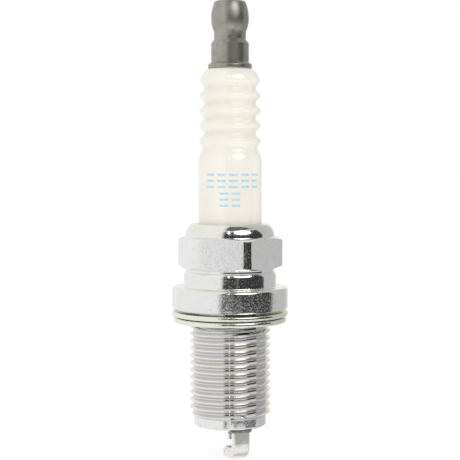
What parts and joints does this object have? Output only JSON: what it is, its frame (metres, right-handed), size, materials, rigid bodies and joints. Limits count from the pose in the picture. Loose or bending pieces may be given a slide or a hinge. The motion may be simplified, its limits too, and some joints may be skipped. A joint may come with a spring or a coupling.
{
  "type": "spark plug",
  "caption": "Long-reach spark plug with a ribbed insulator, a hexagon shell, a captive gasket, a removable terminal nut and a hooked ground electrode.",
  "frame": {"origin": "on the plug's axis, in the underside of the shell's flange, where the gasket seats", "axes": "+Z along the axis towards the terminal; the ground electrode and one hexagon corner are on -Y"},
  "size_m": [0.0198, 0.0198, 0.0769],
  "materials": {
    "terminal_steel": "warm grey satin steel, faint turning marks",
    "stud_steel": "bright machined steel",
    "alumina_glaze": null,
    "conductive_glass": "dark conductive glass, hidden",
    "resistor_mass": "black carbon and glass mass, hidden",
    "nickel_alloy": "satin nickel alloy",
    "copper": "plain copper, hidden",
    "noble_metal": "fine satin noble metal",
    "weld_metal": "cast-looking weld metal, slightly oxidised",
    "plated_steel": "bright zinc plating with a faint yellow and violet tint",
    "packing_steel": "plain steel, hidden",
    "talc": "pressed white powder, hidden",
    "gasket_steel": "bright plated sheet steel"
  },
  "bodies": {
    "terminal_nut_body": {"terminal_nut": "terminal_steel"},
    "plug": {"terminal_stud": "stud_steel", "insulator": "alumina_glaze", "upper_glass_seal": "conductive_glass", "resistor": "resistor_mass", "lower_glass_seal": "conductive_glass", "centre_electrode": "nickel_alloy", "copper_core": "copper", "centre_tip": "noble_metal", "tip_weld": "weld_metal", "metal_shell": "plated_steel", "seat_packing": "packing_steel", "lower_packing_ring": "packing_steel", "talc_fill": "talc", "upper_packing_ring": "packing_steel", "ground_electrode": "nickel_alloy", "ground_weld": "weld_metal", "ground_chip": "noble_metal", "chip_weld": "weld_metal"},
    "gasket_body": {"gasket": "gasket_steel"}
  },
  "joints": [
    {"name": "gasket_spin", "type": "hinge", "parent": "plug", "child": "gasket_body", "pos_m": [0, 0, 0], "axis": [0, 0, 1], "continuous": true},
    {"name": "terminal_nut_lift", "type": "slide", "parent": "plug", "child": "terminal_nut_body", "axis": [0, 0, 1], "range_m": [0, 0.0105]}
  ]
}
